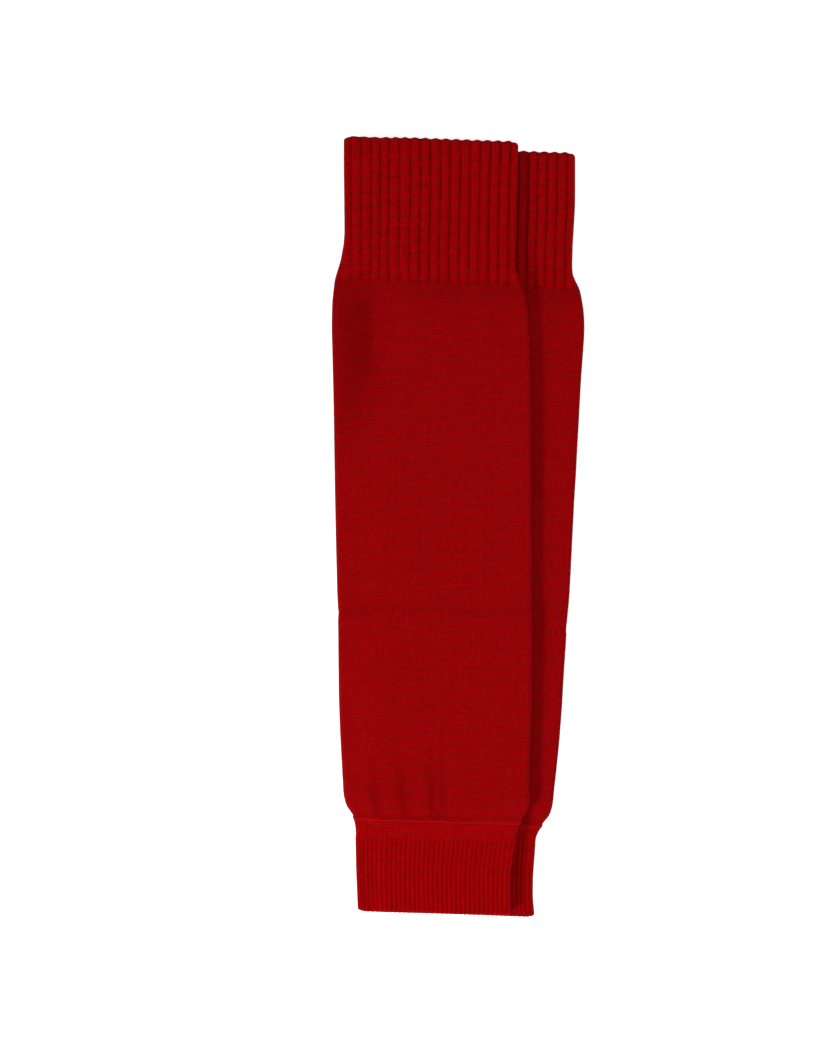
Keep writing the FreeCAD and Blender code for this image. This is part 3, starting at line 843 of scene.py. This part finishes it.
def make_knit(name, crest, gap_shade, valley_shade_tone, contrast):
    """Red knit. The valley tone is the painted shade at the deepest valleys and folds, and contrast
    is how much stitches differ.
    """
    material = bpy.data.materials.new(name)
    material.use_nodes = True
    tree = material.node_tree
    shader = tree.nodes["Principled BSDF"]
    math_node = "ShaderNodeMath"
    stitch = add_node(tree, "ShaderNodeGroup", node_tree=stitch_group)
    uv = add_node(tree, "ShaderNodeUVMap", uv_map="knit")
    noises = []
    for stretch in (ROW_STREAKS, COLUMN_STREAKS):
        stretched = add_node(tree, "ShaderNodeMapping", {"Vector": uv.outputs[0], "Scale": stretch})
        noise_inputs = {"Vector": stretched.outputs[0], "Scale": 1.0, "Detail": 2.0}
        noises.append(add_node(tree, "ShaderNodeTexNoise", noise_inputs).outputs[0])
    yarns = add_node(tree, math_node, dict(enumerate(noises)), operation="ADD")
    # Painted shade: the colour runs from the gap shade to the crest as the stitch rises.
    mixed = add_node(tree, "ShaderNodeMix", {
        0: stitch.outputs["Height"], 6: linear(gap_shade), 7: linear(crest),
    }, data_type="RGBA")  # fmt: skip
    stitch_tone = add_node(tree, "ShaderNodeMapRange", {
        0: stitch.outputs["Tone"], 3: 1 - contrast, 4: 1 + contrast,
    })  # fmt: skip
    yarn_tone = add_node(tree, "ShaderNodeMapRange", {
        0: yarns.outputs[0], 1: 0.7, 2: 1.3, 3: STREAK_TONES[0], 4: STREAK_TONES[1],
    })  # fmt: skip
    tone = add_node(tree, math_node, {
        0: stitch_tone.outputs[0], 1: yarn_tone.outputs[0],
    }, operation="MULTIPLY")  # fmt: skip
    # Painted shade: the valley value darkens the colour towards the valley tone.
    valley = add_node(tree, "ShaderNodeAttribute", attribute_name="valley")
    painted_shade_factor = add_node(tree, "ShaderNodeMapRange", {
        0: valley.outputs["Fac"], 1: 0.0, 2: DEEPEST_VALLEY, 3: 1.0, 4: valley_shade_tone,
    })  # fmt: skip
    tone_and_shade = add_node(tree, math_node, {
        0: tone.outputs[0], 1: painted_shade_factor.outputs[0],
    }, operation="MULTIPLY")  # fmt: skip
    colour = add_node(tree, "ShaderNodeVectorMath", {
        0: mixed.outputs[2], "Scale": tone_and_shade.outputs[0],
    }, operation="SCALE")  # fmt: skip
    tree.links.new(colour.outputs[0], shader.inputs["Base Color"])
    fibres = add_node(tree, "ShaderNodeTexNoise", {
        "Vector": uv.outputs[0], "Scale": FIBRES_PER_STITCH, "Detail": 3.0,
    })  # fmt: skip
    fuzz = add_node(tree, math_node, {0: fibres.outputs[0], 1: FIBRE_HEIGHT}, operation="MULTIPLY")
    height = add_node(tree, math_node, {
        0: stitch.outputs["Height"], 1: fuzz.outputs[0],
    }, operation="ADD")  # fmt: skip
    bump = add_node(tree, "ShaderNodeBump", {
        "Height": height.outputs[0], "Distance": YARN_DEPTH * MM, "Strength": 0.5,
    })  # fmt: skip
    tree.links.new(bump.outputs[0], shader.inputs["Normal"])
    shader.inputs["Roughness"].default_value = FABRIC_ROUGHNESS
    shader.inputs["Specular IOR Level"].default_value = 0.04
    shader.inputs["Specular Tint"].default_value = linear(SHINE_RED)
    shader.inputs["Sheen Weight"].default_value = 0.06
    shader.inputs["Sheen Roughness"].default_value = 0.5
    shader.inputs["Sheen Tint"].default_value = linear(SHEEN_RED)
    return material


# Each knit: crest colour, painted gap shade, painted valley shade tone, stitch contrast.
plain_knit = make_knit("polyester_plain_knit", "#8D0408", GAP_SHADE_RED, 0.68, 0.09)
wide_rib_knit = make_knit("polyester_wide_rib_knit", "#A10408", DEEP_GAP_SHADE_RED, 0.62, 0.12)
fine_rib_knit = make_knit("polyester_fine_rib_knit", "#A40408", FINE_GAP_SHADE_RED, 0.66, 0.12)

# %% [markdown]
# ## Thread materials
# Sewing thread is spun polyester, twisted, so a slanting line winds round it: painted shade in the
# groove between plies and painted light on them. It is smoother than the knit and a little brighter.
# The elastic is rubber wound with the same red yarn.

# %% Thread materials
def make_thread(name, colour, twist, roughness, specular):
    """Twisted thread. twist is the length of one turn, in millimetres."""
    material = bpy.data.materials.new(name)
    material.use_nodes = True
    tree = material.node_tree
    shader = tree.nodes["Principled BSDF"]
    math_node = "ShaderNodeMath"
    uv = add_node(tree, "ShaderNodeUVMap", uv_map="knit")
    parts = add_node(tree, "ShaderNodeSeparateXYZ", {0: uv.outputs[0]})
    along = add_node(tree, math_node, {0: parts.outputs["Y"], 1: 1 / twist}, operation="MULTIPLY")
    wound = add_node(tree, math_node, {0: along.outputs[0], 1: parts.outputs["X"]}, operation="ADD")
    angle = add_node(tree, math_node, {0: wound.outputs[0], 1: 4 * math.pi}, operation="MULTIPLY")
    ply = add_node(tree, math_node, {0: angle.outputs[0]}, operation="SINE")
    # Painted shade and light: darker in the groove between plies, lighter on their crests.
    tone = add_node(tree, "ShaderNodeMapRange", {0: ply.outputs[0], 1: -1.0, 2: 1.0, 3: 0.75, 4: 1.1})
    base = add_node(tree, "ShaderNodeVectorMath", {
        0: linear(colour)[:3], "Scale": tone.outputs[0],
    }, operation="SCALE")  # fmt: skip
    tree.links.new(base.outputs[0], shader.inputs["Base Color"])
    bump = add_node(tree, "ShaderNodeBump", {"Height": ply.outputs[0], "Distance": 0.03 * MM})
    tree.links.new(bump.outputs[0], shader.inputs["Normal"])
    shader.inputs["Roughness"].default_value = roughness
    shader.inputs["Specular IOR Level"].default_value = specular
    return material


sewing_thread = make_thread("spun_polyester_thread", "#B4080C", 0.6, 0.7, 0.06)
covered_rubber = make_thread("yarn_covered_rubber", "#8C0407", 0.3, 0.7, 0.1)

# %% [markdown]
# ## Joining the pieces to the frame
# Each piece rides on its guard's body, so the front guard lifts off as one. Each stands for the CAD
# node in whose space it lies.

# %% Frame links
CLOTH = {"sleeve": plain_knit, "elbow_cuff": wide_rib_knit, "wrist_cuff": fine_rib_knit}


def settle(piece, guard, material, node):
    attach(piece, f"{guard.name}_guard")
    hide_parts(f"{guard.name}_{node}")
    piece.data.materials.append(material)


for guard in (front, rear):
    pieces = {"sleeve": sleeves, "elbow_cuff": elbow_cuffs, "wrist_cuff": wrist_cuffs}
    for node_name, made in pieces.items():
        piece = made[guard.name]
        settle(piece, guard, CLOTH[node_name], node_name)
    for piece in overlocks[guard.name]:
        settle(piece, guard, sewing_thread, "wrist_seam_thread")
    elbow_elastic, wrist_elastic, chain = inner_threads[guard.name]
    settle(elbow_elastic, guard, covered_rubber, "elbow_elastics")
    settle(wrist_elastic, guard, covered_rubber, "wrist_elastics")
    settle(chain, guard, sewing_thread, "elbow_link_thread")
